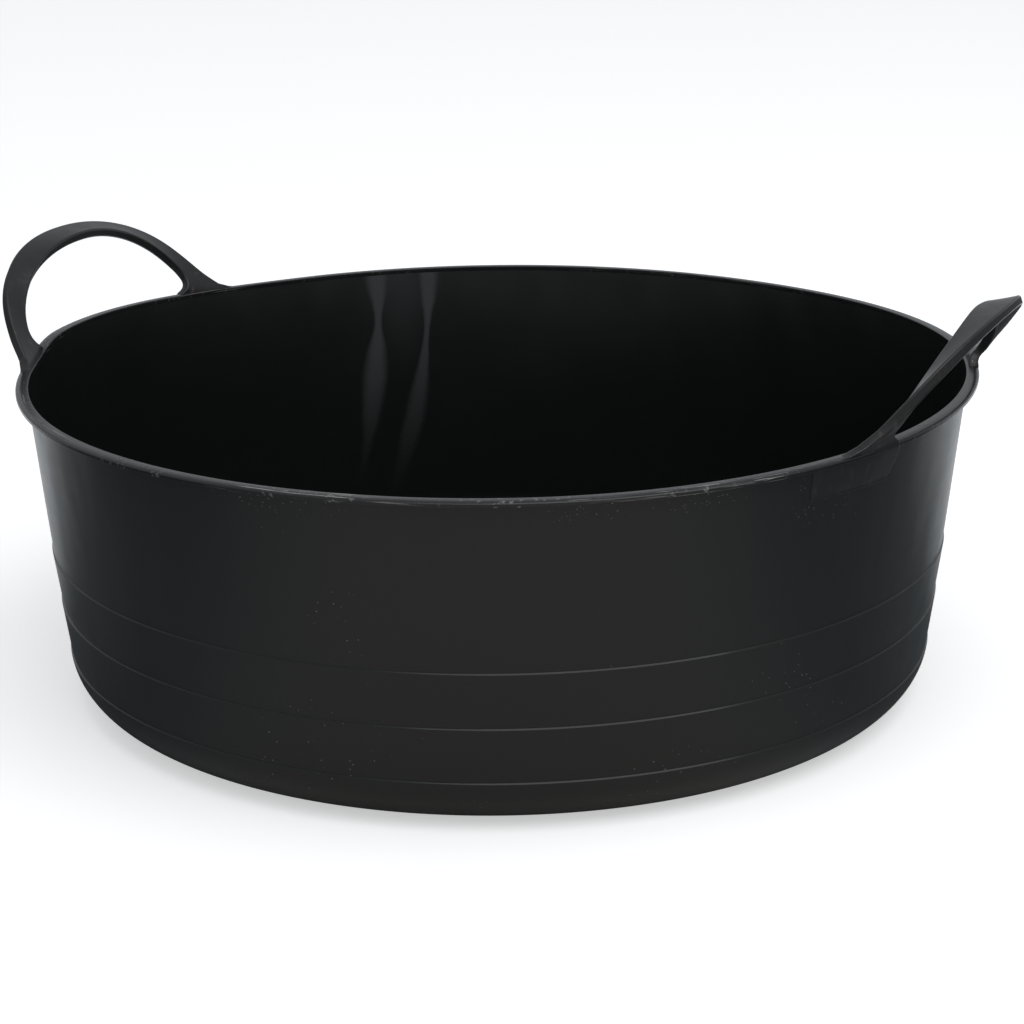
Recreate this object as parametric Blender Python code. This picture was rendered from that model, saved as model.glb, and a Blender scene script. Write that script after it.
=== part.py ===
"""Flexible feed tub: one soft black polyethylene moulding, shown as the regions that do different jobs.

The frame is in metres with +Z up. The origin is at the centre of the underside, where the tub
stands, and the two carrying handles lie on +X and -X. The feature that takes the most skill is the
handle: a strap that lies flat under the hand at the top of its arch, twists through a quarter turn on
the way down and lands tangent to the round rim on a flared foot.
"""

import math

import bmesh
import bpy
from mathutils import Vector

# Tub body
RIM_OUTER_RADIUS = 0.210
BODY_HEIGHT = 0.140
WALL_DRAFT_DEG = 6.41
WALL_THICKNESS = 0.0024
FLOOR_THICKNESS = 0.0028
CORNER_RADIUS = 0.023

# Lip that stiffens the top edge
RIM_OVERHANG = 0.0045
RIM_HEIGHT = 0.0022
RIM_EDGE_RADIUS = 0.0008
RIM_MOUTH_RADIUS = 0.0018

# Shallow ledges that circle the outside of the wall
BAND_COUNT = 3
BAND_TOP_HEIGHT = 0.0685
BAND_PITCH = 0.0235
BAND_STEP = 0.0006
BAND_LEDGE_HEIGHT = 0.0005

# Underside
STANDING_RING_WIDTH = 0.016
BASE_RECESS = 0.0012
RECESS_SLOPE = 0.0015
GATE_RADIUS = 0.006
GATE_HEIGHT = 0.0006

# Carrying handles
HANDLE_HALF_SPAN = 0.0712
HANDLE_ARCH_HEIGHT = 0.0486
ARCH_FULLNESS = 0.97
HANDLE_LEAN_DEG = 30.6
STRAP_WIDTH = 0.0141
STRAP_THICKNESS = 0.0042
STRAP_EDGE_CHAMFER = 0.0012
TWIST_RATE = 1.72
GRIP_TILT_DEG = 6.5
NARROWING_RATE = 0.78
FLARE_RATE = 11.0
FOOT_REACH_TO_OPENING = 0.002
FOOT_REACH_AWAY = 0.016
FOOT_FLARE = 0.0103
FOOT_FLARE_HEIGHT = 0.0155
FOOT_FLARE_RATE = 2.3

# Soft stretch of each leg, where the handle bends
FLEX_START_HEIGHT = 0.003
FLEX_LENGTH = 0.013

# Thickened root under each foot, let into the wall
ROOT_DEPTH = 0.0167
ROOT_MARGIN_TO_OPENING = 0.0008
ROOT_REACH_AWAY = 0.0345
ROOT_SEAT_DEPTH = 0.0009
ROOT_TOE_RISE = 0.0025

# Clearance between neighbouring solids
GAP = 0.0003

# Fineness of the round surfaces, and the edge angle above which a surface is shaded as a corner
TURN_STEPS = 96
CORNER_STEPS = 8
EDGE_STEPS = 3
ROOT_TURN_STEPS = 5
GRIP_STATIONS = 44
LEG_STATIONS = 7
FOOT_STATIONS = 4
SHARP_EDGE_DEG = 35.0

# How far a cutter runs past the solid that it cuts
CUTTER_MARGIN = 0.004

# Points of a turned outline closer than this are one point
WELD_DISTANCE = 1e-6

# Step along the arch over which its direction is measured
DIRECTION_STEP = 1e-4

# Polyethylene, black, satin outside and glossier where the mould was polished
TUB_COLOUR = (0.012, 0.013, 0.014, 1.0)
RIM_COLOUR = (0.016, 0.017, 0.018, 1.0)
HANDLE_COLOUR = (0.014, 0.015, 0.016, 1.0)
SATIN_ROUGHNESS = 0.42
HANDLE_ROUGHNESS = 0.48

# Values that follow from the sizes above
DRAFT = math.radians(WALL_DRAFT_DEG)
WALL_RADIUS_AT_RIM = RIM_OUTER_RADIUS - RIM_OVERHANG
WALL_TOP = BODY_HEIGHT - RIM_HEIGHT - GAP
FLOOR_TOP = BASE_RECESS + FLOOR_THICKNESS
FOOT_RADIUS = RIM_OUTER_RADIUS - STRAP_THICKNESS / 2
HANDLE_LEAN = math.radians(HANDLE_LEAN_DEG)
GRIP_TILT = math.radians(GRIP_TILT_DEG)
FOOT_ANGLE = math.asin(HANDLE_HALF_SPAN / FOOT_RADIUS)
FOOT_X = FOOT_RADIUS * math.cos(FOOT_ANGLE)
TWIST_AT_FOOT = math.pi / 2 + FOOT_ANGLE
FLEX_END_HEIGHT = FLEX_START_HEIGHT + FLEX_LENGTH
HINGE_HEIGHT = FLEX_START_HEIGHT + FLEX_LENGTH / 2


def make_material(name, colour, roughness):
    """Plain Principled material of one moulded finish."""
    material = bpy.data.materials.new(name)
    material.use_nodes = True
    shader = material.node_tree.nodes["Principled BSDF"]
    shader.inputs["Base Color"].default_value = colour
    shader.inputs["Roughness"].default_value = roughness
    shader.inputs["Metallic"].default_value = 0.0
    return material


def add_object(name, bm, material=None, turn=0.0, parent=None):
    """Close the bmesh into a named object, turned about +Z and hung on its parent."""
    bmesh.ops.recalc_face_normals(bm, faces=bm.faces)
    mesh = bpy.data.meshes.new(name)
    bm.to_mesh(mesh)
    bm.free()
    mesh.shade_smooth()
    mesh.set_sharp_from_angle(angle=math.radians(SHARP_EDGE_DEG))
    item = bpy.data.objects.new(name, mesh)
    bpy.context.scene.collection.objects.link(item)
    if material:
        mesh.materials.append(material)
    item.rotation_euler.z = turn
    item.parent = parent
    return item


def add_cutter(name, bm):
    """A tool solid, drawn as wire and left out of the part."""
    cutter = add_object(name, bm)
    cutter.hide_render = True
    cutter.display_type = "WIRE"
    return cutter


def add_boolean(item, other, operation):
    """Join another solid to this one, or cut it away."""
    modifier = item.modifiers.new(other.name, "BOOLEAN")
    modifier.operation = operation
    modifier.solver = "EXACT"
    modifier.object = other


def arc(centre_r, centre_z, radius, start_deg, end_deg, steps):
    """Points along an arc in the (radius, height) plane."""
    points = []
    for step in range(steps + 1):
        angle = math.radians(start_deg + (end_deg - start_deg) * step / steps)
        points.append((centre_r + radius * math.cos(angle), centre_z + radius * math.sin(angle)))
    return points


def turn_profile(bm, points, start_angle=0.0, sweep=2 * math.pi, steps=TURN_STEPS, closed=False):
    """Turn an outline in the (radius, height) plane about +Z and close what is left open."""
    full = math.isclose(sweep, 2 * math.pi)
    verts = []
    for radius, height in points:
        x = radius * math.cos(start_angle)
        y = radius * math.sin(start_angle)
        verts.append(bm.verts.new((x, y, height)))
    edges = []
    for first, second in zip(verts, verts[1:]):
        edges.append(bm.edges.new((first, second)))
    if closed:
        edges.append(bm.edges.new((verts[-1], verts[0])))
    bmesh.ops.spin(
        bm,
        geom=verts + edges,
        cent=(0, 0, 0),
        axis=(0, 0, 1),
        angle=sweep,
        steps=steps,
        use_merge=full,
    )
    bmesh.ops.remove_doubles(bm, verts=bm.verts, dist=WELD_DISTANCE)
    open_edges = [edge for edge in bm.edges if edge.is_boundary]
    if open_edges:
        bmesh.ops.holes_fill(bm, edges=open_edges)


def wall_radius(height):
    """Outer radius of the plain drafted wall at a height over the ground."""
    return WALL_RADIUS_AT_RIM - (BODY_HEIGHT - height) * math.tan(DRAFT)


def wall_inner_radius(height):
    """Inner radius of the plain drafted wall at a height over the ground."""
    return wall_radius(height) - WALL_THICKNESS / math.cos(DRAFT)


def corner_centre(radius_at_height, radius, floor_height):
    """Centre of the fillet between a drafted wall and a flat floor."""
    height = floor_height + radius
    return radius_at_height(height) - radius / math.cos(DRAFT), height


def shell_outline():
    """Outline from the middle of the underside, up the outside, over the top and down the inside."""
    outside = [(wall_radius(WALL_TOP), WALL_TOP)]
    for band in range(BAND_COUNT):
        line = BAND_TOP_HEIGHT - band * BAND_PITCH
        outside.append((wall_radius(line), line))
        ledge = line - BAND_LEDGE_HEIGHT
        outside.append((wall_radius(ledge) + BAND_STEP, ledge))

    lowest_ledge = outside[-1][1]
    centre_r, centre_z = corner_centre(wall_radius, CORNER_RADIUS, 0.0)
    corner = arc(centre_r, centre_z, CORNER_RADIUS, -WALL_DRAFT_DEG, -90, CORNER_STEPS)
    for step, (radius, height) in enumerate(corner):
        if height < lowest_ledge - BAND_LEDGE_HEIGHT:
            swell = BAND_STEP * (1 - step / CORNER_STEPS)
            outside.append((radius + swell, height))

    ring_inside = centre_r - STANDING_RING_WIDTH
    outside.append((ring_inside, 0.0))
    outside.append((ring_inside - RECESS_SLOPE, BASE_RECESS))
    outside.append((GATE_RADIUS + GATE_HEIGHT, BASE_RECESS))
    outside.append((GATE_RADIUS, BASE_RECESS - GATE_HEIGHT))
    outside.append((0.0, BASE_RECESS - GATE_HEIGHT))

    inner_radius = CORNER_RADIUS - WALL_THICKNESS
    inner_r, inner_z = corner_centre(wall_inner_radius, inner_radius, FLOOR_TOP)
    inside = [(wall_inner_radius(WALL_TOP), WALL_TOP)]
    inside += arc(inner_r, inner_z, inner_radius, -WALL_DRAFT_DEG, -90, CORNER_STEPS)
    inside.append((0.0, FLOOR_TOP))
    return outside[::-1] + inside


def rim_outline():
    """Section of the lip: flat on top, with a wide rounding towards the mouth and small ones outside."""
    inside = wall_inner_radius(BODY_HEIGHT)
    bottom = BODY_HEIGHT - RIM_HEIGHT
    edge = RIM_EDGE_RADIUS
    outline = [(inside, bottom)]
    outline += arc(RIM_OUTER_RADIUS - edge, bottom + edge, edge, -90, 0, EDGE_STEPS)
    outline += arc(RIM_OUTER_RADIUS - edge, BODY_HEIGHT - edge, edge, 0, 90, EDGE_STEPS)
    mouth = RIM_MOUTH_RADIUS
    outline += arc(inside + mouth, BODY_HEIGHT - mouth, mouth, 90, 180, EDGE_STEPS)
    return outline


def root_outline():
    """Section of a root: over the lip at the top, thinning down to a toe flush with the wall."""
    lip_inside = RIM_OUTER_RADIUS - STRAP_THICKNESS
    under_lip = BODY_HEIGHT - RIM_HEIGHT
    toe = BODY_HEIGHT - ROOT_DEPTH + GAP
    seat = ROOT_SEAT_DEPTH - GAP
    edge = RIM_EDGE_RADIUS
    outline = [(lip_inside, BODY_HEIGHT)]
    outline += arc(RIM_OUTER_RADIUS - edge, BODY_HEIGHT - edge, edge, 90, 0, EDGE_STEPS)
    outline.append((RIM_OUTER_RADIUS, under_lip))
    outline.append((wall_radius(toe + ROOT_TOE_RISE) + seat, toe + ROOT_TOE_RISE))
    outline.append((wall_radius(toe), toe))
    outline.append((wall_radius(toe) - seat, toe))
    outline.append((wall_radius(WALL_TOP) - seat, WALL_TOP))
    outline.append((lip_inside, WALL_TOP))
    return outline


def seat_outline():
    """What is cut from the wall so that a root can stand in it."""
    toe = BODY_HEIGHT - ROOT_DEPTH
    top = WALL_TOP + CUTTER_MARGIN
    outside = RIM_OUTER_RADIUS + CUTTER_MARGIN
    return [
        (wall_radius(toe) - ROOT_SEAT_DEPTH, toe),
        (outside, toe),
        (outside, top),
        (wall_radius(top) - ROOT_SEAT_DEPTH, top),
    ]


def notch_outline():
    """What is cut from the outer part of the lip so that a root can pass over it."""
    inside = RIM_OUTER_RADIUS - STRAP_THICKNESS - GAP
    outside = RIM_OUTER_RADIUS + CUTTER_MARGIN
    bottom = BODY_HEIGHT - RIM_HEIGHT - CUTTER_MARGIN
    top = BODY_HEIGHT + CUTTER_MARGIN
    return [(inside, bottom), (outside, bottom), (outside, top), (inside, top)]


def root_sweep(end, clearance):
    """Start angle and sweep of a root at one end of a handle, end being +1 or -1 along Y."""
    reach_to_opening = FOOT_REACH_TO_OPENING + FOOT_FLARE + ROOT_MARGIN_TO_OPENING
    nearest = FOOT_ANGLE - (reach_to_opening + clearance) / FOOT_RADIUS
    furthest = FOOT_ANGLE + (ROOT_REACH_AWAY + clearance) / FOOT_RADIUS
    return end * nearest, end * (furthest - nearest)


def add_root_cutter(name, outline):
    """One tool with the same cut at all four feet."""
    bm = bmesh.new()
    for side_turn in (0.0, math.pi):
        for end in (1, -1):
            piece = bmesh.new()
            start, sweep = root_sweep(end, GAP)
            turn_profile(piece, outline, side_turn + start, sweep, ROOT_TURN_STEPS, closed=True)
            bmesh.ops.recalc_face_normals(piece, faces=piece.faces)
            mesh = bpy.data.meshes.new(name)
            piece.to_mesh(mesh)
            piece.free()
            bm.from_mesh(mesh)
            bpy.data.meshes.remove(mesh)
    return add_cutter(name, bm)


def arch_point(along):
    """Middle line of the +X handle; along is -1 at one foot, 0 at the grip and 1 at the other."""
    if abs(along) > 1:
        below_rim = (abs(along) - 1) * HANDLE_HALF_SPAN
        return arch_point(math.copysign(1, along)) - Vector((0, 0, below_rim))
    angle = abs(along) * math.pi / 2
    across = math.copysign(HANDLE_HALF_SPAN * math.sin(angle) ** ARCH_FULLNESS, along)
    return leaning_point(height_on_arch(angle), across)


def height_on_arch(angle):
    """Height over the rim in the leaning plane; the angle is 0 at the grip and a right angle at a foot."""
    return HANDLE_ARCH_HEIGHT * max(math.cos(angle), 0.0) ** ARCH_FULLNESS


def leaning_point(height, across):
    """Point in the plane of the +X handle, which leans outwards from the rim."""
    outwards = FOOT_X + height * math.sin(HANDLE_LEAN)
    upwards = BODY_HEIGHT + height * math.cos(HANDLE_LEAN)
    return Vector((outwards, across, upwards))


def along_at_height(height_in_plane):
    """Place on the arch that lies at a given height over the rim, measured in the leaning arch."""
    share = (height_in_plane / HANDLE_ARCH_HEIGHT) ** (1 / ARCH_FULLNESS)
    return math.acos(share) * 2 / math.pi


def strap_ring(along):
    """Chamfered section of the strap: flat at the grip, level and bowed to the rim at the feet."""
    share = min(abs(along), 1.0)
    flare = share ** FLARE_RATE
    downwards = Vector((0, 0, -math.copysign(1, along)))
    middle = arch_point(along)
    forward = (arch_point(along + DIRECTION_STEP) - arch_point(along - DIRECTION_STEP)).normalized()
    forward = forward.lerp(downwards, flare).normalized()
    outward = Vector((1, 0, 0))
    outward = (outward - forward * outward.dot(forward)).normalized()
    upward = outward.cross(forward)

    twist = GRIP_TILT * (1 - share * share) + TWIST_AT_FOOT * share ** TWIST_RATE
    width_way = outward * math.cos(twist) + upward * math.sin(twist)
    top_way = upward * math.cos(twist) - outward * math.sin(twist)

    half = STRAP_WIDTH / 2
    near = half + (FOOT_REACH_TO_OPENING - half) * share ** NARROWING_RATE
    far = half + (FOOT_REACH_AWAY - half) * flare
    height = height_on_arch(share * math.pi / 2)
    if height < FOOT_FLARE_HEIGHT:
        near += FOOT_FLARE * (1 - height / FOOT_FLARE_HEIGHT) ** FOOT_FLARE_RATE

    thick = STRAP_THICKNESS / 2
    cut = STRAP_EDGE_CHAMFER
    bow = flare / (2 * FOOT_RADIUS)
    centre = (far - near) / 2
    corners = [
        (-near + cut, thick),
        (centre, thick),
        (far - cut, thick),
        (far, thick - cut),
        (far, cut - thick),
        (far - cut, -thick),
        (centre, -thick),
        (-near + cut, -thick),
        (-near, cut - thick),
        (-near, thick - cut),
    ]
    return [middle + width_way * across + top_way * (up + bow * across * across) for across, up in corners]


def loft_strap(start, end, stations):
    """Closed stretch of strap, lofted corner to corner through its sections on the arch."""
    bm = bmesh.new()
    rings = []
    for station in range(stations + 1):
        points = strap_ring(start + (end - start) * station / stations)
        rings.append([bm.verts.new(point) for point in points])
    for first, second in zip(rings, rings[1:]):
        for corner in range(len(first)):
            bm.faces.new((first[corner], second[corner], second[corner - 1], first[corner - 1]))
    bm.faces.new(rings[0])
    bm.faces.new(rings[-1])
    return bm


def hinge_point():
    """Middle of the soft stretch, on the line that the handle bends about."""
    return leaning_point(HINGE_HEIGHT, 0.0)


def build_shell(material):
    """Floor, round corner and drafted wall in one turned solid, with a seat cut for each root."""
    bm = bmesh.new()
    turn_profile(bm, shell_outline())
    shell = add_object("tub_shell", bm, material)
    add_boolean(shell, add_root_cutter("root_seat_cutter", seat_outline()), "DIFFERENCE")


def build_rim(material):
    """Turned lip over the top of the wall, notched where the roots pass over it."""
    bm = bmesh.new()
    turn_profile(bm, rim_outline(), closed=True)
    rim = add_object("rim_lip", bm, material)
    add_boolean(rim, add_root_cutter("root_notch_cutter", notch_outline()), "DIFFERENCE")


def build_root(name, end, turn, material):
    """Thickened pad on the wall and lip, joined to the flared foot that rises from it."""
    bm = bmesh.new()
    start, sweep = root_sweep(end, 0.0)
    turn_profile(bm, root_outline(), start, sweep, ROOT_TURN_STEPS, closed=True)
    root = add_object(name, bm, material, turn)
    below_lip = 1 + RIM_HEIGHT / 2 / HANDLE_HALF_SPAN
    stub_top = along_at_height(FLEX_START_HEIGHT - GAP)
    stub = loft_strap(end * stub_top, end * below_lip, FOOT_STATIONS)
    cutter = add_cutter(name + "_stub", stub)
    cutter.rotation_euler.z = turn
    add_boolean(root, cutter, "UNION")


def build_handle(side, turn, material):
    """Grip hung on its bending axis, with the two soft legs and the two roots that carry it."""
    hinge = bpy.data.objects.new(side + "_handle_hinge", None)
    hinge.location = hinge_point()
    hinge.location.x *= math.cos(turn)
    bpy.context.scene.collection.objects.link(hinge)

    grip_end = along_at_height(FLEX_END_HEIGHT + GAP)
    bm = loft_strap(-grip_end, grip_end, GRIP_STATIONS)
    bmesh.ops.translate(bm, verts=bm.verts, vec=-hinge_point())
    add_object(side + "_handle_grip", bm, material, turn, hinge)

    for end in (1, -1):
        place = "rear" if end * math.cos(turn) > 0 else "front"
        name = side + "_" + place
        low = along_at_height(FLEX_START_HEIGHT)
        high = along_at_height(FLEX_END_HEIGHT)
        bm = loft_strap(end * high, end * low, LEG_STATIONS)
        add_object(name + "_handle_leg", bm, material, turn)
        build_root(name + "_handle_root", end, turn, material)


for old in list(bpy.data.objects):
    bpy.data.objects.remove(old)

tub_finish = make_material("tub_polyethylene", TUB_COLOUR, SATIN_ROUGHNESS)
rim_finish = make_material("rim_polyethylene", RIM_COLOUR, SATIN_ROUGHNESS)
handle_finish = make_material("handle_polyethylene", HANDLE_COLOUR, HANDLE_ROUGHNESS)

build_shell(tub_finish)
build_rim(rim_finish)
build_handle("right", 0.0, handle_finish)
build_handle("left", math.pi, handle_finish)
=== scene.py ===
"""Flexible feed tub on a plain pale floor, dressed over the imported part."""

import math

import bmesh
import bpy
from mathutils import Matrix, Vector


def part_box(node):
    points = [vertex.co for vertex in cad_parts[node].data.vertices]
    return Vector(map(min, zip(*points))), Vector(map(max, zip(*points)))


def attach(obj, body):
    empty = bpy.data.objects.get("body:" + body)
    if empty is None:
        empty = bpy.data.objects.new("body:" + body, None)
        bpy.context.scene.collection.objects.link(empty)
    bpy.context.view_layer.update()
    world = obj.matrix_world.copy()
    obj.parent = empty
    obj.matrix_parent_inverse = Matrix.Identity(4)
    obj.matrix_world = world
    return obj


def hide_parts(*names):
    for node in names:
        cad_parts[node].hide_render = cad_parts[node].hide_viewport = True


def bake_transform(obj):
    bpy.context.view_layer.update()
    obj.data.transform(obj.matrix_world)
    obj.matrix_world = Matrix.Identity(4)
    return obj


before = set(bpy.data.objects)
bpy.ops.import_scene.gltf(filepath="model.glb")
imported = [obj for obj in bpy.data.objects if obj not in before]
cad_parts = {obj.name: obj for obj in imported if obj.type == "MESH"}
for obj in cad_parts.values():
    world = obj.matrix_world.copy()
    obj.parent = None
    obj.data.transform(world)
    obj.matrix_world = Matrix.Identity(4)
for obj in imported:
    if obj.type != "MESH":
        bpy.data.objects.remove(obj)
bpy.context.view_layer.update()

# Floor and wall of the tub
# The real tub is one injection moulding in soft low-density polyethylene. Its wall is drafted, turns
# into the floor with a round corner and carries three shallow ledges outside.

RIM_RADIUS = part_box("rim_lip")[1].x
BODY_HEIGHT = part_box("rim_lip")[1].z
DRAFT = math.radians(6.41)
LIP_OVERHANG = 0.0045
WALL_RADIUS_AT_RIM = RIM_RADIUS - LIP_OVERHANG
WALL_THICKNESS = 0.0024
FLOOR_THICKNESS = 0.0028
RIM_HEIGHT = 0.0022
CORNER_RADIUS = 0.023
LEDGES = (0.0685, 0.0450, 0.0215)
LEDGE_STEP = 0.0006
LEDGE_HEIGHT = 0.0005
LEDGE_CURVE = ((0.3, 0.2), (0.7, 0.8), (1.0, 1.0))
RECESS = 0.0012
STANDING_RING = 0.016
GATE_RADIUS = 0.006
WALL_TAPER = 0.0017
WALL_TAPER_HEIGHT = 0.110
TUCKED_IN = 0.0006
TUCKED_UP = 0.0002
WALL_STEPS = 8
CORNER_STEPS = 32
INNER_STEPS = 60
TURN_STEPS = 288
WELD = 1e-6

# Edges under the floor. A point is its radius past the standing ring's inner side or past the stub's, and
# its height over the ground or over the recess.
RECESS_EDGE = ((0.0004, 0.0), (0.0, 0.0001), (-0.0013, RECESS - 0.0001), (-0.0017, RECESS))
GATE_EDGE = ((0.0008, 0.0), (0.0, -0.0002), (-0.0004, -0.0006))

# Where the soft mouth has been pulled out of true. A lift has a bearing, its spread before and after that
# bearing in degrees, and a height. A pull has a bearing, a spread and a depth.
LIFTS = ((190.0, 48.0, 14.0, 0.0048), (20.0, 85.0, 60.0, 0.0026))
PULLS = ((214.0, 22.0, 0.0008),)
LIFT_LOW = 0.070
LIFT_OVER_RIM = 0.009
LIFT_CLEAR = 0.001


def wall_radius(height):
    """Outer radius of the plain wall at a height over the ground."""
    return WALL_RADIUS_AT_RIM - (BODY_HEIGHT - height) * math.tan(DRAFT)


def inner_radius(height):
    """Inner radius of the wall at a height over the ground, where the wall thins towards the mouth."""
    thinned = max(1 - (BODY_HEIGHT - height) / WALL_TAPER_HEIGHT, 0.0)
    return wall_radius(height) - WALL_THICKNESS / math.cos(DRAFT) + WALL_TAPER * thinned


def smooth(share):
    """0 below 0, 1 above 1 and smooth between."""
    share = min(max(share, 0.0), 1.0)
    return share * share * (3 - 2 * share)


def bulge(degrees, before, after):
    """1 at no degrees off a bearing, down to 0 at a spread before it and another after it."""
    degrees = (degrees + 180) % 360 - 180
    share = -degrees / before if degrees < 0 else degrees / after
    return math.cos(share * math.pi / 2) ** 2 if share < 1 else 0.0


def lift_mouth(bm):
    """Raise the mouth where the handles have lifted it, and pull it in where it has been dented."""
    for vert in bm.verts:
        bearing = math.degrees(math.atan2(vert.co.y, vert.co.x))
        below = smooth((vert.co.z - LIFT_LOW) / (BODY_HEIGHT - LIFT_LOW))
        above = smooth((vert.co.z - BODY_HEIGHT - LIFT_CLEAR) / LIFT_OVER_RIM)
        raised = 0.0
        for middle, before, after, height in LIFTS:
            raised += height * bulge(bearing - middle, before, after)
        pulled = 0.0
        for middle, spread, depth in PULLS:
            pulled += depth * bulge(bearing - middle, spread, spread)
        radius = math.hypot(vert.co.x, vert.co.y)
        share = below * (1 - above)
        vert.co.z += raised * share
        if pulled:
            vert.co.x *= 1 - pulled * share / radius
            vert.co.y *= 1 - pulled * share / radius


def arc(centre, radius, start, end, steps):
    """Points on an arc in the plane of radius and height, its angles in degrees."""
    points = []
    for step in range(steps + 1):
        angle = math.radians(start + (end - start) * step / steps)
        points.append((centre[0] + radius * math.cos(angle), centre[1] + radius * math.sin(angle)))
    return points


def corner_centre(radius_at, radius, floor):
    """Centre of the round corner between a drafted wall and the floor."""
    height = floor + radius
    return radius_at(height) - radius / math.cos(DRAFT), height


def outer_wall():
    """Outline of the outside, from under the lip down over the ledges and round to the ground."""
    points = [(wall_radius(BODY_HEIGHT - RIM_HEIGHT / 2), BODY_HEIGHT - RIM_HEIGHT / 2)]
    top = BODY_HEIGHT - RIM_HEIGHT
    for line in LEDGES:
        for step in range(1, WALL_STEPS + 1):
            height = top + (line - top) * step / WALL_STEPS
            swell = 0.0 if top > LEDGES[0] + LEDGE_HEIGHT else LEDGE_STEP * (1 - step / WALL_STEPS)
            points.append((wall_radius(height) + swell, height))
        for down, out in LEDGE_CURVE:
            top = line - LEDGE_HEIGHT * down
            points.append((wall_radius(top) + LEDGE_STEP * out, top))
    centre = corner_centre(wall_radius, CORNER_RADIUS, 0.0)
    rounded = arc(centre, CORNER_RADIUS, -math.degrees(DRAFT), -90, CORNER_STEPS)
    for step, (radius, height) in enumerate(rounded):
        if height < LEDGES[-1] - 2 * LEDGE_HEIGHT:
            points.append((radius + LEDGE_STEP * (1 - step / CORNER_STEPS), height))
    return points, centre[0]


def underside(ring_radius):
    """Outline under the floor: standing ring, shallow recess and the stub where the mould was filled."""
    inside = ring_radius - STANDING_RING
    points = [(inside + out, height) for out, height in RECESS_EDGE]
    points.append((inside / 2, RECESS))
    points += [(GATE_RADIUS + out, RECESS + up) for out, up in GATE_EDGE]
    points.append((0.0, points[-1][1]))
    return points


def inner_wall():
    """Outline of the inside, from the middle of the floor up to a tuck into the lip."""
    floor = RECESS + FLOOR_THICKNESS
    radius = CORNER_RADIUS - WALL_THICKNESS
    centre = corner_centre(inner_radius, radius, floor)
    points = [(0.0, floor), (centre[0] / 2, floor)]
    points += arc(centre, radius, -90, -math.degrees(DRAFT), CORNER_STEPS)
    low = points[-1][1]
    top = BODY_HEIGHT - RIM_HEIGHT
    for step in range(1, INNER_STEPS + 1):
        height = low + (top - low) * step / INNER_STEPS
        points.append((inner_radius(height), height))
    points.append((inner_radius(top) + TUCKED_IN, top + TUCKED_UP))
    points.append((inner_radius(top) + TUCKED_IN, BODY_HEIGHT - RIM_HEIGHT / 2))
    return points


def turned(points, closed=False):
    """Mesh of an outline turned once round the upright axis, its faces pointing outwards."""
    bm = bmesh.new()
    verts = [bm.verts.new((radius, 0, height)) for radius, height in points]
    for first, second in zip(verts, verts[1:]):
        bm.edges.new((first, second))
    if closed:
        bm.edges.new((verts[-1], verts[0]))
    bmesh.ops.spin(
        bm,
        geom=bm.verts[:] + bm.edges[:],
        cent=(0, 0, 0),
        axis=(0, 0, 1),
        angle=2 * math.pi,
        steps=TURN_STEPS,
        use_merge=True,
    )
    bmesh.ops.remove_doubles(bm, verts=bm.verts, dist=WELD)
    bmesh.ops.recalc_face_normals(bm, faces=bm.faces)
    return bm


def finished(name, bm, materials, sharp=30):
    """Object of a finished mesh, smooth but for its sharp edges."""
    mesh = bpy.data.meshes.new(name)
    bm.to_mesh(mesh)
    bm.free()
    mesh.shade_smooth()
    mesh.set_sharp_from_angle(angle=math.radians(sharp))
    for material in materials:
        mesh.materials.append(material)
    piece = bpy.data.objects.new(name, mesh)
    bpy.context.scene.collection.objects.link(piece)
    return piece


class Value:
    """A socket of a finish. Arithmetic on it adds Math nodes."""

    def __init__(self, finish, socket):
        self.finish = finish
        self.socket = socket

    def maths(self, operation, *others):
        """Result of a Math node on this value and the others."""
        return self.finish.node("ShaderNodeMath", {"operation": operation}, self, *others)

    def __add__(self, other):
        return self.maths("ADD", other)

    def __mul__(self, other):
        return self.maths("MULTIPLY", other)

    def __sub__(self, other):
        return self.maths("SUBTRACT", other)

    def __truediv__(self, other):
        return self.maths("DIVIDE", other)

    def __rsub__(self, other):
        return self.finish.node("ShaderNodeMath", {"operation": "SUBTRACT"}, other, self)

    __radd__ = __add__
    __rmul__ = __mul__

    def cos(self):
        return self.maths("COSINE")

    def size(self):
        return self.maths("ABSOLUTE")

    def most(self, other):
        return self.maths("MAXIMUM", other)


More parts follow.
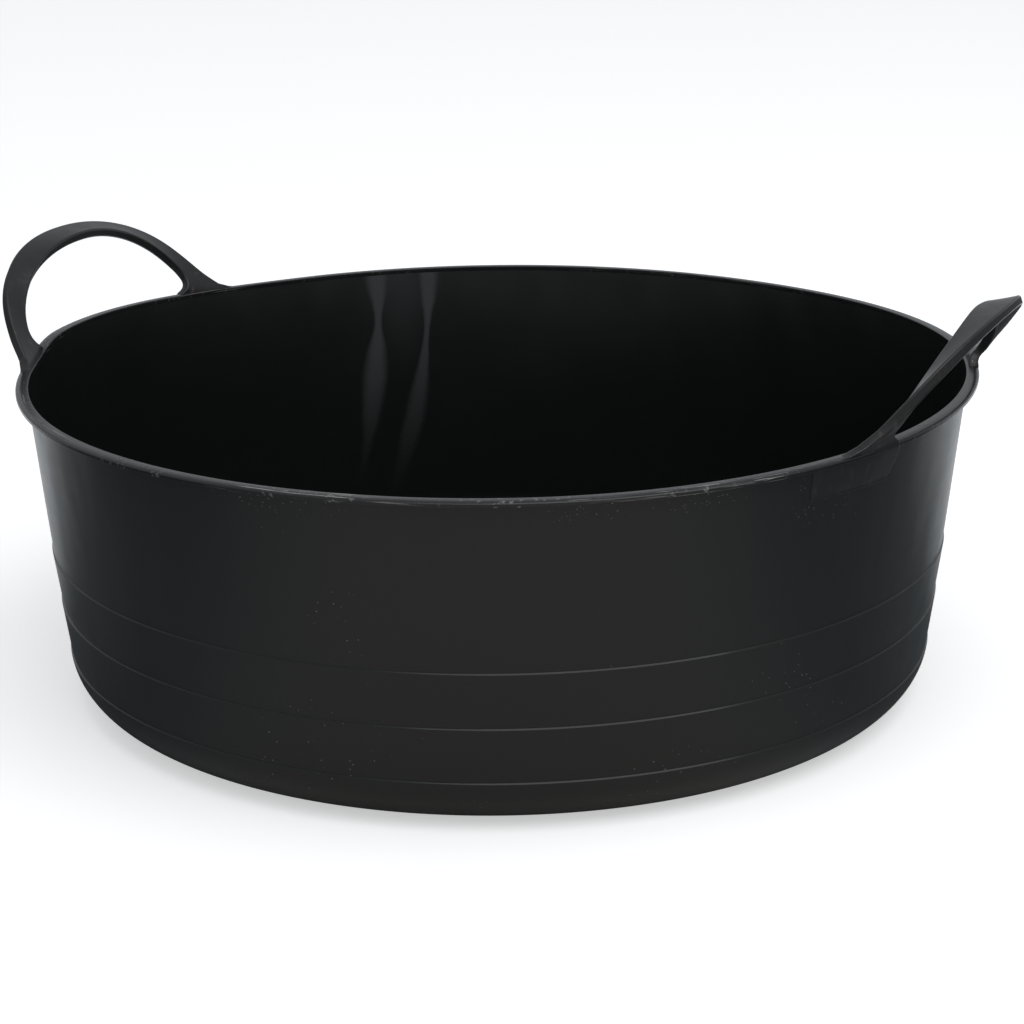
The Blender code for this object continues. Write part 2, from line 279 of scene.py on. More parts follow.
class Finish:
    """Material of one moulded surface, with the nodes that vary it."""

    def __init__(self, name, colour, roughness, specular):
        self.material = bpy.data.materials.new(name)
        self.material.use_nodes = True
        self.tree = self.material.node_tree
        self.shader = self.tree.nodes["Principled BSDF"]
        self.shader.inputs["Base Color"].default_value = (*colour, 1)
        self.shader.inputs["Roughness"].default_value = roughness
        self.shader.inputs["Specular IOR Level"].default_value = specular

    def node(self, kind, settings, *values, output=None, **named):
        """New node: its settings first, then the values or links of its sockets."""
        made = self.tree.nodes.new(kind)
        for key, setting in settings.items():
            setattr(made, key, setting)
        pairs = list(zip([socket for socket in made.inputs if socket.enabled], values))
        pairs += [(made.inputs[key], value) for key, value in named.items()]
        for socket, value in pairs:
            if isinstance(value, Value):
                self.tree.links.new(value.socket, socket)
            else:
                socket.default_value = value
        if output:
            return Value(self, made.outputs[output])
        return Value(self, next(socket for socket in made.outputs if socket.enabled))

    def feed(self, socket, value):
        """Link a value to a socket of the shader."""
        self.tree.links.new(value.socket, self.shader.inputs[socket])

    def place(self, stretch):
        """Place on the piece, in metres, times a stretch along each axis."""
        where = self.node("ShaderNodeTexCoord", {}, output="Object")
        return self.node("ShaderNodeMapping", {}, where, Scale=stretch)

    def coordinates(self):
        """The three coordinates of a place on the piece, in metres."""
        where = self.node("ShaderNodeTexCoord", {}, output="Object")
        parts = self.node("ShaderNodeSeparateXYZ", {}, where).socket.node.outputs
        return [Value(self, parts[axis]) for axis in "XYZ"]

    def bearing(self, x, y):
        """Bearing of a place round the upright axis, in radians."""
        return self.node("ShaderNodeMath", {"operation": "ARCTAN2"}, y, x)

    def noise(self, place, scale, detail):
        """Noise from 0 to 1."""
        return self.node("ShaderNodeTexNoise", {}, Vector=place, Scale=scale, Detail=detail, output="Fac")

    def pattern(self, stretch, scale, detail):
        """Noise from 0 to 1 that lies still on the piece."""
        return self.noise(self.place(stretch), scale, detail)

    def specks(self, scale, edge):
        """Scattered round specks: 1 in their middle and 0 outside their edge."""
        named = {"Vector": self.place(EVEN), "Scale": scale}
        off = self.node("ShaderNodeTexVoronoi", {"feature": "F1"}, **named, output="Distance")
        return 1 - self.step(off, *edge)

    def step(self, value, low, high):
        """0 at low, 1 at high and smooth between."""
        settings = {"interpolation_type": "SMOOTHSTEP"}
        return self.node("ShaderNodeMapRange", settings, value, low, high, 0.0, 1.0)

    def mixed(self, share, first, second):
        """Colour between two colours."""
        settings = {"data_type": "RGBA"}
        return self.node("ShaderNodeMix", settings, share, self.colour(first), self.colour(second))

    @staticmethod
    def colour(value):
        """A linked colour as it is, or three numbers with full opacity."""
        return value if isinstance(value, Value) else (*value, 1)

    def bump(self, height, strength, distance, **normal):
        """Normal of a surface with a fine relief, over another normal if one is given."""
        named = {"Strength": strength, "Distance": distance, "Height": height}
        return self.node("ShaderNodeBump", {}, **named, **normal)


# A pattern is its stretch along each axis, its scale per metre and its detail. A pair of numbers holds the
# two ends of a smooth step. Specks are their scale per metre and the pair over which they fade out.
EVEN = (1, 1, 1)
OUTSIDE = (0.0085, 0.0088, 0.0086)
OUTER_ROUGHNESS = 0.27
OUTER_SPECULAR = 0.45
CLOUD = ((1, 1, 0.35), 34.0, 4.0)
CLOUD_ROUGHNESS = 0.10
SMEAR = ((1, 1, 3.2), 60.0, 3.0)
SMEAR_ROUGHNESS = 0.06
WAVES = ((1, 1, 0.45), 24.0, 2.0)
WAVE_HEIGHT = 0.0009
GRAIN = (EVEN, 900.0, 2.0)
GRAIN_STRENGTH = 0.12
GRAIN_HEIGHT = 0.0001
DUST = (0.30, 0.28, 0.25)
DUST_SHARE = 0.8
DUST_ROUGHNESS = 0.2
PATCHES = (EVEN, 17.0, 2.0)
COARSE_SPECKS = (330.0, (0.04, 0.10))
COARSE_PATCHES = (0.56, 0.66)
FINE_SPECKS = (560.0, (0.07, 0.16))
FINE_PATCHES = (0.46, 0.58)
UNDER_LIP = (0.126, 0.137)
GRIT = (0.28, 0.21, 0.145)
GRIT_PLACE = (0.1805, -0.0950, 0.1295)
GRIT_REACH = (0.006, 0.023)
GRIT_GATHERED = 0.2

outer_finish = Finish("tub_outside", OUTSIDE, OUTER_ROUGHNESS, OUTER_SPECULAR)
outer_z = outer_finish.coordinates()[2]
near_lip = outer_finish.step(outer_z, *UNDER_LIP)
grit_off = outer_finish.node(
    "ShaderNodeVectorMath", {"operation": "DISTANCE"}, outer_finish.place(EVEN), GRIT_PLACE
)
near_grit = 1 - outer_finish.step(grit_off, *GRIT_REACH)
patches = outer_finish.pattern(*PATCHES)
coarse = outer_finish.specks(*COARSE_SPECKS) * outer_finish.step(patches, *COARSE_PATCHES)
gathered = outer_finish.step(patches + near_grit * GRIT_GATHERED, *FINE_PATCHES)
fine = outer_finish.specks(*FINE_SPECKS) * gathered
dust = coarse.most(fine * near_lip.most(near_grit))
dust_tone = outer_finish.mixed(near_grit, DUST, GRIT)
outer_finish.feed("Base Color", outer_finish.mixed(dust * DUST_SHARE, OUTSIDE, dust_tone))
cloudy = outer_finish.pattern(*CLOUD) * CLOUD_ROUGHNESS
smeared = outer_finish.pattern(*SMEAR) * SMEAR_ROUGHNESS
outer_finish.feed("Roughness", OUTER_ROUGHNESS + cloudy + smeared + dust * DUST_ROUGHNESS)
relief = outer_finish.bump(outer_finish.pattern(*WAVES), 1.0, WAVE_HEIGHT)
grain = outer_finish.pattern(*GRAIN)
outer_finish.feed("Normal", outer_finish.bump(grain, GRAIN_STRENGTH, GRAIN_HEIGHT, Normal=relief))

INSIDE = (0.0066, 0.0078, 0.0070)
INNER_ROUGHNESS = 0.20
INNER_SPECULAR = 0.35
RINGS = ((1, 1, 14), 30.0, 3.0)
RING_ROUGHNESS = 0.05
RING_STRENGTH = 0.04
RING_HEIGHT = 0.0003
INNER_WAVES = ((1, 1, 0.45), 30.0, 1.0)
INNER_WAVE_HEIGHT = 0.0010
FLOOR_WAVES = 0.3
FLOOR_TO_WALL = (0.006, 0.035)
WOBBLE = (EVEN, 60.0, 1.0)

# Two streaks of reflected light are painted lighter into the inside wall's colour, and the wall is made
# rougher there.
# Each has a bearing in degrees, a bend in degrees per square metre of drop, half its middle width and the
# swing of that in radians, the height where it is widest, the period of the swing, and the heights where it
# is gone and where it is full.
REFLECTION_STREAKS = (
    (131.8, 415, 0.0200, 0.0100, 0.090, 0.050, 0.025, 0.120),
    (124.3, 526, 0.0165, 0.0085, 0.068, 0.075, 0.015, 0.130),
)
REFLECTION_TONE = (0.040, 0.042, 0.044)
REFLECTION_ROUGHNESS = 0.26
REFLECTION_TOP = 0.1385
REFLECTION_WOBBLE = 0.012
REFLECTION_SWING_BELOW = 0.4
REFLECTION_CORE = 0.35
REFLECTION_EDGE = 1.4
SHEEN_BEARING = math.radians(128.9)
SHEEN_WOBBLE = 0.03
SHEEN_WIDTH = 0.105
SHEEN_HEIGHTS = (0.078, 0.140)
SHEEN_SHARE = 0.42

inner_finish = Finish("tub_inside", INSIDE, INNER_ROUGHNESS, INNER_SPECULAR)
inner_x, inner_y, inner_z = inner_finish.coordinates()
around = inner_finish.bearing(inner_x, inner_y)
wobble = inner_finish.pattern(*WOBBLE) - 0.5
# Painted reflections: two lighter streaks down the inside wall.
drop = REFLECTION_TOP - inner_z
painted_reflections = 0.0
for bearing, bend, middle_width, swing, widest, period, gone, full in REFLECTION_STREAKS:
    bent = drop * drop * math.radians(bend)
    off = (around - math.radians(bearing) - bent).size() + wobble * REFLECTION_WOBBLE
    rise = inner_z - widest
    swung = rise.most(rise * REFLECTION_SWING_BELOW) * (2 * math.pi / period)
    width = middle_width + swung.cos() * swing
    across = 1 - inner_finish.step(off, width * REFLECTION_CORE, width * REFLECTION_EDGE)
    painted_reflections = across * inner_finish.step(inner_z, gone, full) + painted_reflections
# A fainter painted reflection round the streaks, lighter towards the mouth.
sheen_off = (around - SHEEN_BEARING).size() + wobble * SHEEN_WOBBLE
painted_sheen = (1 - inner_finish.step(sheen_off, 0.0, SHEEN_WIDTH)) * inner_finish.step(inner_z, *SHEEN_HEIGHTS)
painted_reflection_share = painted_reflections.most(painted_sheen * SHEEN_SHARE)
# The painted reflection streaks and the painted sheen round them lighten the inside's colour.
inner_finish.feed("Base Color", inner_finish.mixed(painted_reflection_share, INSIDE, REFLECTION_TONE))
rings = inner_finish.pattern(*RINGS)
inner_finish.feed("Roughness", INNER_ROUGHNESS + rings * RING_ROUGHNESS + painted_reflections * REFLECTION_ROUGHNESS)
wavy = FLOOR_WAVES + inner_finish.step(inner_z, *FLOOR_TO_WALL) * (1 - FLOOR_WAVES)
inner_waves = (inner_finish.pattern(*INNER_WAVES) - 0.5) * wavy
inner_relief = inner_finish.bump(inner_waves, 1.0, INNER_WAVE_HEIGHT)
inner_finish.feed("Normal", inner_finish.bump(rings, RING_STRENGTH, RING_HEIGHT, Normal=inner_relief))

# The inside finish goes on faces whose normal turns inwards or up by more than this.
TURNED_INWARDS = -0.02
TURNED_UP = 0.5

outline, ring_radius = outer_wall()
outline += underside(ring_radius)
bm = turned(outline[::-1] + inner_wall()[::-1])
lift_mouth(bm)
mid_floor = RECESS + FLOOR_THICKNESS / 2
for face in bm.faces:
    middle = face.calc_center_median()
    outwards = Vector((middle.x, middle.y, 0)).normalized()
    inside = face.normal.dot(outwards) < TURNED_INWARDS or face.normal.z > TURNED_UP
    face.material_index = 1 if inside and middle.z > mid_floor else 0
tub = finished("tub_wall", bm, [outer_finish.material, inner_finish.material])
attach(tub, "tub")
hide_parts("tub_shell")

# Lip round the mouth
# A bead moulded with the wall, rolled over outwards from a ridge at the mouth, which stiffens the edge.
# Handling has nicked and scratched it.

RIM_MOUTH_EDGE = 0.0004
RIM_ROLL = 0.0030
RIM_ROLL_DEPTH = 0.0011
RIM_LOW_EDGE = 0.0002
RIM_EDGE_STEPS = 6
RIM_ROLL_STEPS = 12
RIM_SHARP = 40
RIM_TONE = (0.011, 0.011, 0.0115)
RIM_ROUGHNESS = 0.19
RIM_SPECULAR = 0.42
WORN_TONE = (0.28, 0.27, 0.255)
WORN_ROUGHNESS = 0.3
NICKS = (EVEN, 420.0, 4.0)
NICK_EDGE = (0.58, 0.66)
NICK_SHARE = 0.4
NICK_STRENGTH = 0.25
NICK_DEPTH = 0.0003
WEAR = (EVEN, 24.0, 2.0)
WEAR_PATCHES = (0.45, 0.62)
WEAR_ROUGHNESS = 0.10
SCRATCH_ALONG = 6.0
SCRATCH_ACROSS = 900.0
SCRATCH_SCALE = 1.6
SCRATCH_DETAIL = 3.0
SCRATCH_EDGE = (0.58, 0.66)
SCRATCH_PATTERN = (EVEN, 11.0, 1.0)
SCRATCH_PATCHES = (0.46, 0.58)
SCRATCH_ALL_OVER = 0.35
SCRATCH_ON_TOP = 0.75
SCRATCH_TOP = 0.0009
HANDLED_BEARING = math.radians(-70)
HANDLED_WIDTH = math.radians(24)
WORN_ELSEWHERE = 0.25

rim_finish = Finish("rim_scuffed", RIM_TONE, RIM_ROUGHNESS, RIM_SPECULAR)
rim_x, rim_y, rim_z = rim_finish.coordinates()
rim_way = rim_finish.bearing(rim_x, rim_y)
rim_reach = (rim_x * rim_x + rim_y * rim_y).maths("SQRT")
nicks = rim_finish.pattern(*NICKS)
wear = rim_finish.pattern(*WEAR)
nicked = rim_finish.step(nicks, *NICK_EDGE) * rim_finish.step(wear, *WEAR_PATCHES)
along_rim = rim_finish.node(
    "ShaderNodeCombineXYZ", {}, rim_way * SCRATCH_ALONG, rim_z * SCRATCH_ACROSS, rim_reach * SCRATCH_ACROSS
)
lines = rim_finish.step(rim_finish.noise(along_rim, SCRATCH_SCALE, SCRATCH_DETAIL), *SCRATCH_EDGE)
on_top = rim_finish.step(rim_z, BODY_HEIGHT - SCRATCH_TOP, BODY_HEIGHT)
scratch_patches = rim_finish.step(rim_finish.pattern(*SCRATCH_PATTERN), *SCRATCH_PATCHES)
scratched = lines * scratch_patches * (SCRATCH_ALL_OVER + on_top * SCRATCH_ON_TOP)
handled = 1 - rim_finish.step((rim_way - HANDLED_BEARING).size(), HANDLED_WIDTH, 2 * HANDLED_WIDTH)
worn = (nicked * NICK_SHARE + scratched) * (WORN_ELSEWHERE + handled * (1 - WORN_ELSEWHERE))
rim_finish.feed("Base Color", rim_finish.mixed(worn, RIM_TONE, WORN_TONE))
rim_finish.feed("Roughness", RIM_ROUGHNESS + wear * WEAR_ROUGHNESS + worn * WORN_ROUGHNESS)
rim_finish.feed("Normal", rim_finish.bump(nicks, NICK_STRENGTH, NICK_DEPTH))

bottom = BODY_HEIGHT - RIM_HEIGHT
shoulder = BODY_HEIGHT - RIM_MOUTH_EDGE
mouth = inner_radius(bottom)
outline = [(mouth, bottom)]
outline += arc((mouth + RIM_MOUTH_EDGE, shoulder), RIM_MOUTH_EDGE, 180, 90, RIM_EDGE_STEPS)
for radius, up in arc((RIM_RADIUS - RIM_ROLL, 0), RIM_ROLL, 90, 0, RIM_ROLL_STEPS):
    outline.append((radius, BODY_HEIGHT - RIM_ROLL_DEPTH * (1 - up / RIM_ROLL)))
outline += arc((RIM_RADIUS - RIM_LOW_EDGE, bottom + RIM_LOW_EDGE), RIM_LOW_EDGE, 0, -90, RIM_EDGE_STEPS)
bm = turned(outline, closed=True)
lift_mouth(bm)
rim = finished("rim_bead", bm, [rim_finish.material], RIM_SHARP)
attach(rim, "tub")
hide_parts("rim_lip")

# Carrying handles
# Each is a strap moulded in one with the lip. It lies nearly flat under the hand, twists through more than
# a quarter turn on the way down, flares at its feet and runs out into thickened pads on the wall.

HALF_SPAN = 0.0712
ARCH_HEIGHT = 0.0486
ARCH_FULLNESS = 0.97
LEAN = math.radians(30.6)
STRAP_WIDTH = 0.0141
STRAP_THICKNESS = 0.0042
STRAP_EDGE = 0.0011
TWIST_RATE = 1.72
GRIP_TILT = math.radians(6.5)
NARROWING_RATE = 0.78
GRIP_EASE = 0.06
GRIP_EASE_REACH = 0.4
FLARE_RATE = 11.0
TO_OPENING = 0.002
AWAY = 0.016
FOOT_FLARE = 0.0092
FOOT_FLARE_HEIGHT = 0.0155
FOOT_FLARE_RATE = 2.3
FOOT_TAIL = 0.005
FOOT_TAIL_HEIGHT = 0.0028
FOOT_RADIUS = RIM_RADIUS - STRAP_THICKNESS / 2
FOOT_ANGLE = math.asin(HALF_SPAN / FOOT_RADIUS)
FOOT_X = FOOT_RADIUS * math.cos(FOOT_ANGLE)
PAD_DEPTH = 0.0167
PAD_AWAY = 0.0345
PAD_MARGIN = 0.0008
PAD_TOE = 0.0003
PAD_PROUD = 0.0002
PAD_IN_WALL = 0.0004
PAD_IN_WALL_BELOW = 0.001
PAD_IN_LIP = 0.001
PAD_FULL = 0.002
PAD_WEDGE = 0.86
PAD_RAMP = 0.004
PAD_BEAD = 0.0005
PAD_BEAD_HEIGHT = 0.0014
PAD_BEAD_RISE = 0.00084
PAD_CORNER = 0.0028
PAD_EASE = 0.005
SETTLE = 0.0022
SETTLE_HEIGHT = 0.025
STRAP_SHARP = 50
NEARBY = 1e-4
SECTION_STEPS = 40
ARCH_STEPS = 84
PAD_STEPS = 36

# Places round the strap's section, in turns from its lower corner away from the opening.
FAR_EDGE_TURN = 0.1875
UNDER_TURN = 0.9375
MATT_REACH = 0.07
MATT_FADE = 0.025


def arch_height(share):
    """Height over the rim in the leaning plane, at a share of the way from the grip to a foot."""
    return ARCH_HEIGHT * max(math.cos(share * math.pi / 2), 0.0) ** ARCH_FULLNESS


def arch_point(along):
    """Middle line of the +X handle, which goes straight down below its feet."""
    share = min(abs(along), 1.0)
    height = arch_height(share)
    across = math.copysign(HALF_SPAN * math.sin(share * math.pi / 2) ** ARCH_FULLNESS, along)
    below = (abs(along) - share) * HALF_SPAN
    rise = height * math.cos(LEAN)
    settle = SETTLE * (math.tan(LEAN) - math.tan(DRAFT)) * (1 - math.exp(-rise / SETTLE))
    out = height * math.sin(LEAN) - settle * (1 - smooth(height / SETTLE_HEIGHT))
    return Vector((FOOT_X + out, across, BODY_HEIGHT + rise - below))


def strap_frame(along):
    """Directions of the width and of the top face at a place on the arch, and how much it flares there."""
    share = min(abs(along), 1.0)
    flare = share ** FLARE_RATE
    forward = (arch_point(along + NEARBY) - arch_point(along - NEARBY)).normalized()
    forward = forward.lerp(Vector((0, 0, -math.copysign(1, along))), flare).normalized()
    outward = Vector((1, 0, 0)) - forward * forward.x
    outward.normalize()
    upward = outward.cross(forward)
    twist = GRIP_TILT * (1 - share * share) + (math.pi / 2 + FOOT_ANGLE) * share ** TWIST_RATE
    width_way = outward * math.cos(twist) + upward * math.sin(twist)
    top_way = upward * math.cos(twist) - outward * math.sin(twist)
    return width_way, top_way, flare


def strap_reach(share):
    """How far the strap reaches towards its opening and away from it."""
    half = STRAP_WIDTH / 2
    narrowed = math.hypot(share, GRIP_EASE) ** NARROWING_RATE
    narrowed -= GRIP_EASE ** NARROWING_RATE * (1 - smooth(share / GRIP_EASE_REACH))
    near = half + (TO_OPENING - half) * narrowed
    far = half + (AWAY - half) * share ** FLARE_RATE
    height = arch_height(share)
    if height < FOOT_FLARE_HEIGHT:
        near += FOOT_FLARE * (1 - height / FOOT_FLARE_HEIGHT) ** FOOT_FLARE_RATE
    if height < FOOT_TAIL_HEIGHT:
        far += FOOT_TAIL * (1 - height / FOOT_TAIL_HEIGHT) ** 2
    return near, far


def rounded_box(turn, left, right, low, high, edge):
    """Point on a box with rounded corners, at a share of the way round it."""
    side = turn * 4 % 4
    corner = int(side)
    part = side - corner
    width = right - left - 2 * edge
    height = high - low - 2 * edge
    corners = (
        (right - edge, low + edge),
        (right - edge, high - edge),
        (left + edge, high - edge),
        (left + edge, low + edge),
    )
    ways = ((0, 1), (-1, 0), (0, -1), (1, 0))
    lengths = (height, width, height, width)
    x, y = corners[corner]
    if part < 0.5:
        angle = -math.pi / 2 + corner * math.pi / 2 + part * math.pi
        return x + edge * math.cos(angle), y + edge * math.sin(angle)
    run = (part - 0.5) * 2 * lengths[corner]
    angle = corner * math.pi / 2
    x += edge * math.cos(angle) + ways[corner][0] * run
    y += edge * math.sin(angle) + ways[corner][1] * run
    return x, y


def strap_point(along, turn):
    """Point of the +X handle, at a place along it and round its section."""
    width_way, top_way, flare = strap_frame(along)
    share = min(abs(along), 1.0)
    near, far = strap_reach(share)
    low = -STRAP_THICKNESS / 2
    high = STRAP_THICKNESS / 2
    middle = arch_point(along)
    depth = BODY_HEIGHT - middle.z
    wedge = None
    if abs(along) > 1:
        depth = max(depth, 0.0)
        eased = smooth(depth / PAD_EASE)
        near += PAD_MARGIN * eased
        spread = min(depth / RIM_HEIGHT, 1.0)
        far += (PAD_AWAY - far) * math.sin(spread * math.pi / 2)
        straight = max(depth - RIM_HEIGHT, 0.0) / (PAD_DEPTH - RIM_HEIGHT)
        wall_out = FOOT_RADIUS - wall_radius(BODY_HEIGHT - depth)
        corner = max(PAD_CORNER - (PAD_DEPTH - depth), 0.0)
        cut_back = PAD_CORNER - math.sqrt(max(PAD_CORNER ** 2 - corner ** 2, 0.0))
        near -= cut_back
        far -= cut_back
        proud = STRAP_THICKNESS / 2 + PAD_PROUD * eased
        low = -proud + straight * (wall_out - PAD_TOE + proud)
        low -= PAD_BEAD * smooth((depth - PAD_DEPTH + PAD_BEAD_HEIGHT) / PAD_BEAD_RISE)
        if depth > PAD_IN_WALL_BELOW:
            high = max(high, wall_out + PAD_IN_WALL)
        wedge = wall_out if depth > RIM_HEIGHT else PAD_IN_LIP - STRAP_THICKNESS / 2
    across, up = rounded_box(turn, -near, far, low, high, STRAP_EDGE)
    if wedge is not None and up < wedge:
        share = min(max((across - PAD_FULL) / (PAD_AWAY - PAD_FULL), 0.0), 1.0)
        ramp = smooth((across - PAD_AWAY + PAD_RAMP) / PAD_RAMP)
        up = wedge + (up - wedge) * (1 - share * PAD_WEDGE) * (1 - ramp)
    bow = flare / (2 * FOOT_RADIUS)
    return middle + width_way * across + top_way * (up + bow * across * across)


def along_of(step):
    """Place along the handle of each of its sections, closer together in the pads."""
    count = ARCH_STEPS + 2 * PAD_STEPS
    if step < PAD_STEPS:
        return -1 - (PAD_STEPS - step) / PAD_STEPS * PAD_DEPTH / HALF_SPAN
    if step > count - PAD_STEPS:
        return 1 + (step - count + PAD_STEPS) / PAD_STEPS * PAD_DEPTH / HALF_SPAN
    return -1 + 2 * (step - PAD_STEPS) / ARCH_STEPS


def turns_off(turn, middle, period):
    """How far a turn is off a middle that comes again after each period."""
    return abs((turn - middle + period / 2) % period - period / 2)


def handle_mesh():
    """Mesh of the +X handle: a sheet wrapped round its sections, its seam and its ends closed."""
    stations = ARCH_STEPS + 2 * PAD_STEPS
    bm = bmesh.new()
    bmesh.ops.create_grid(bm, x_segments=SECTION_STEPS * 4, y_segments=stations, size=0.5)
    edge_share = bm.verts.layers.float.new("strap_edge")
    for vert in bm.verts:
        turn = vert.co.x + 0.5
        off = min(turns_off(turn, FAR_EDGE_TURN, 0.5), turns_off(turn, UNDER_TURN, 1.0))
        vert[edge_share] = 1 - smooth((off - MATT_REACH) / MATT_FADE)
        step = round((vert.co.y + 0.5) * stations)
        vert.co = strap_point(along_of(step), turn)
    bmesh.ops.remove_doubles(bm, verts=bm.verts, dist=WELD)
    gaps = [edge for edge in bm.edges if edge.is_boundary]
    bmesh.ops.holes_fill(bm, edges=gaps)
    bmesh.ops.recalc_face_normals(bm, faces=bm.faces)
    return bm


HANDLE_TONE = (0.0100, 0.0100, 0.0104)
HANDLE_ROUGHNESS = 0.30
HANDLE_SPECULAR = 0.42
LEGS_START = (BODY_HEIGHT - 0.003, BODY_HEIGHT + 0.003)
LEGS_END = (BODY_HEIGHT + 0.004, BODY_HEIGHT + 0.020)
SCUFFS = (EVEN, 160.0, 4.0)
SCUFF_EDGE = (0.44, 0.66)
STREAKS = ((1, 1, 0.18), 420.0, 3.0)
STREAK_EDGE = (0.46, 0.64)
SCUFFED_ALL_OVER = 0.10
SCUFFED_ON_LEGS = 0.45
SCUFF_TONE = (0.120, 0.088, 0.078)
SCUFF_ROUGHNESS = 0.3
SCUFF_STRENGTH = 0.2
SCUFF_DEPTH = 0.0003
SATIN_VARIES = 0.14
CHIPS = (620.0, (0.10, 0.24))
CHIP_PATTERN = (EVEN, 70.0, 2.0)
CHIP_PATCHES = (0.60, 0.70)
CHIP_TONE = (0.30, 0.25, 0.17)
CHIP_SHARE = 0.7
MATT_ROUGHNESS = 0.45
MATT_START = (BODY_HEIGHT + 0.006, BODY_HEIGHT + 0.016)

handle_finish = Finish("handle_satin", HANDLE_TONE, HANDLE_ROUGHNESS, HANDLE_SPECULAR)
handle_z = handle_finish.coordinates()[2]
scuffs = handle_finish.pattern(*SCUFFS)
streaks = handle_finish.pattern(*STREAKS)
low_part = 1 - handle_finish.step(handle_z, *LEGS_END)
legs = low_part * handle_finish.step(handle_z, *LEGS_START)
rubbed = handle_finish.step(scuffs, *SCUFF_EDGE) * handle_finish.step(streaks, *STREAK_EDGE)
scuffed = rubbed * (SCUFFED_ALL_OVER + legs * SCUFFED_ON_LEGS)
chip_patches = handle_finish.step(handle_finish.pattern(*CHIP_PATTERN), *CHIP_PATCHES)
chipped = handle_finish.specks(*CHIPS) * chip_patches * low_part
scuff_colour = handle_finish.mixed(scuffed, HANDLE_TONE, SCUFF_TONE)
handle_finish.feed("Base Color", handle_finish.mixed(chipped * CHIP_SHARE, scuff_colour, CHIP_TONE))
strap_edges = handle_finish.node("ShaderNodeAttribute", {"attribute_name": "strap_edge"}, output="Fac")
matt = strap_edges * handle_finish.step(handle_z, *MATT_START) * MATT_ROUGHNESS
varied = scuffs * SATIN_VARIES + scuffed * SCUFF_ROUGHNESS
handle_finish.feed("Roughness", HANDLE_ROUGHNESS + varied + matt)
handle_finish.feed("Normal", handle_finish.bump(scuffs, SCUFF_STRENGTH, SCUFF_DEPTH))

for side, turn in (("right", 0.0), ("left", math.pi)):
    bm = handle_mesh()
    bmesh.ops.rotate(bm, verts=bm.verts, cent=(0, 0, 0), matrix=Matrix.Rotation(turn, 3, "Z"))
    lift_mouth(bm)
    strap = finished(side + "_handle_strap", bm, [handle_finish.material], STRAP_SHARP)
    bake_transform(strap)
    nodes = [side + "_handle_grip"]
    for place in ("front", "rear"):
        nodes += [side + "_" + place + "_handle_leg", side + "_" + place + "_handle_root"]
    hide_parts(*nodes)

# Floor and light
# A plain pale floor to the camera, which keeps the tub's shadow. Where the tub mirrors it, its colour is
# painted light and warm to the front and light behind, and painted dark at the sides and further off;
# behind the tub it also glows in those reflections.
# A dim even room and one soft lamp light the tub.

VIEW_TURN = math.radians(24.5)
FLOOR_RADIUS = 12.0
FLOOR_SIDES = 96
FLOOR_DROP = 0.0004
FLOOR_TONE = (0.80, 0.80, 0.80)
FLOOR_ROUGHNESS = 0.7
FLOOR_SPECULAR = 0.1
FLOOR_TO_FRONT = (0.40, 0.94)
FLOOR_TO_BACK = (-0.10, -0.72)
FLOOR_CLOSE_BY = (0.44, 0.66)
FLOOR_FRONT = 0.56
FLOOR_BACK = 0.8
FLOOR_NEAR = 0.22
FLOOR_FAR = 0.05
FLOOR_BEHIND = 0.75
FLOOR_SHOWN = 0.5
FLOOR_WARM = (1.0, 0.97, 0.92)
FLOOR_COOL = (0.86, 0.94, 1.0)
ROOM_TONE = (0.92, 0.96, 1.0)
ROOM_STRENGTH = 0.5
LAMP_PLACE = (0.9, -0.5, 2.1)
LAMP_SIZE = 2.2
LAMP_POWER = 26

floor_bm = bmesh.new()
bmesh.ops.create_circle(floor_bm, cap_ends=True, segments=FLOOR_SIDES, radius=FLOOR_RADIUS)
bmesh.ops.translate(floor_bm, verts=floor_bm.verts, vec=(0, 0, -FLOOR_DROP))
floor_finish = Finish("pale_floor", FLOOR_TONE, FLOOR_ROUGHNESS, FLOOR_SPECULAR)
seen = floor_finish.node("ShaderNodeLightPath", {}, output="Is Camera Ray")
mirrored = floor_finish.node("ShaderNodeLightPath", {}, output="Is Glossy Ray")
floor_x, floor_y = floor_finish.coordinates()[:2]
distance = (floor_x * floor_x + floor_y * floor_y).maths("SQRT")
# Painted light and shade on the floor where the tub mirrors it: lighter and warmer in front, lighter
# behind, darker at the sides and far off.
towards = (floor_x * math.sin(VIEW_TURN) - floor_y * math.cos(VIEW_TURN)) / distance
front = floor_finish.step(towards, *FLOOR_TO_FRONT)
behind = floor_finish.step(towards, *FLOOR_TO_BACK)
close = 1 - floor_finish.step(distance, *FLOOR_CLOSE_BY)
aside = FLOOR_FAR + close * (FLOOR_NEAR - FLOOR_FAR)
painted_light_level = aside + front * (FLOOR_FRONT - aside) + behind * (FLOOR_BACK - aside)
tint = floor_finish.mixed(front, FLOOR_COOL, FLOOR_WARM)
shade = floor_finish.node("ShaderNodeVectorMath", {"operation": "SCALE"}, tint, Scale=painted_light_level)
floor_finish.feed("Base Color", floor_finish.mixed(mirrored, FLOOR_TONE, shade))
glow = seen * FLOOR_SHOWN + mirrored * behind * FLOOR_BEHIND
floor_finish.feed("Emission Color", floor_finish.mixed(glow, (0, 0, 0), (1, 1, 1)))
floor_finish.shader.inputs["Emission Strength"].default_value = 1.0
floor = finished("floor", floor_bm, [floor_finish.material])

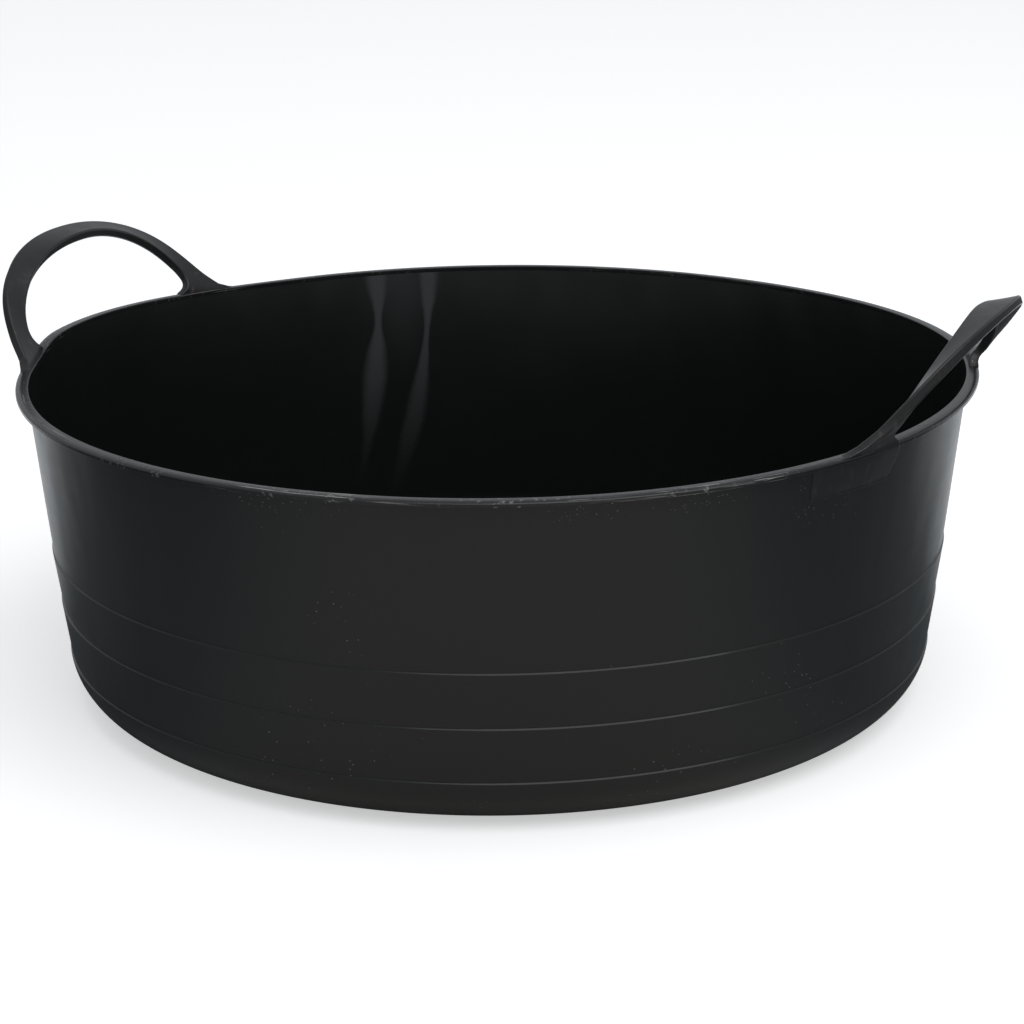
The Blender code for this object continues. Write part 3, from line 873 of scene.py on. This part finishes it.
world = bpy.data.worlds.new("studio")
bpy.context.scene.world = world
world.use_nodes = True
sky = world.node_tree.nodes
links = world.node_tree.links
room = sky["Background"]
room.inputs["Color"].default_value = (*ROOM_TONE, 1)
room.inputs["Strength"].default_value = ROOM_STRENGTH
white = sky.new("ShaderNodeBackground")
white.inputs["Color"].default_value = (1, 1, 1, 1)
path = sky.new("ShaderNodeLightPath")
either = sky.new("ShaderNodeMixShader")
links.new(path.outputs["Is Camera Ray"], either.inputs["Fac"])
links.new(room.outputs["Background"], either.inputs[1])
links.new(white.outputs["Background"], either.inputs[2])
links.new(either.outputs["Shader"], sky["World Output"].inputs["Surface"])

lamp = bpy.data.lights.new("overhead", "AREA")
lamp.shape = "SQUARE"
lamp.size = LAMP_SIZE
lamp.energy = LAMP_POWER
holder = bpy.data.objects.new("overhead", lamp)
bpy.context.scene.collection.objects.link(holder)
holder.location = LAMP_PLACE
holder.rotation_euler = (-Vector(LAMP_PLACE)).to_track_quat("-Z", "Y").to_euler()

# Camera
# Placed by fitting the mouth and the outline of the tub to the photograph.

VIEW_DISTANCE = 5.42219 * RIM_RADIUS
VIEW_ELEVATION = math.radians(14.032)
VIEW_TILT = math.radians(3.336)
VIEW_PAN = math.radians(0.3075)
VIEW_ROLL = math.radians(-0.6916)
FOCAL_PIXELS = 2573.73
FRAME_PIXELS = 1024
SENSOR_WIDTH = 36.0
CLIP_START = 0.05
CLIP_END = 60.0

camera_data = bpy.data.cameras.new("camera")
camera_data.sensor_width = SENSOR_WIDTH
camera_data.lens = SENSOR_WIDTH * FOCAL_PIXELS / FRAME_PIXELS
camera_data.clip_start = CLIP_START
camera_data.clip_end = CLIP_END
camera = bpy.data.objects.new("camera", camera_data)
bpy.context.scene.collection.objects.link(camera)
back = Vector((0, -math.cos(VIEW_ELEVATION), math.sin(VIEW_ELEVATION))) * VIEW_DISTANCE
turn_about = Matrix.Rotation(VIEW_TURN, 4, "Z")
stand = Matrix.Translation(turn_about @ back + Vector((0, 0, BODY_HEIGHT)))
aim = Matrix.Rotation(math.pi / 2 - VIEW_ELEVATION - VIEW_TILT, 4, "X")
pan = Matrix.Rotation(-VIEW_PAN, 4, "Y")
roll = Matrix.Rotation(VIEW_ROLL, 4, "Z")
camera.matrix_world = stand @ turn_about @ aim @ pan @ roll
bpy.context.scene.camera = camera
bpy.context.scene.view_settings.view_transform = "Standard"
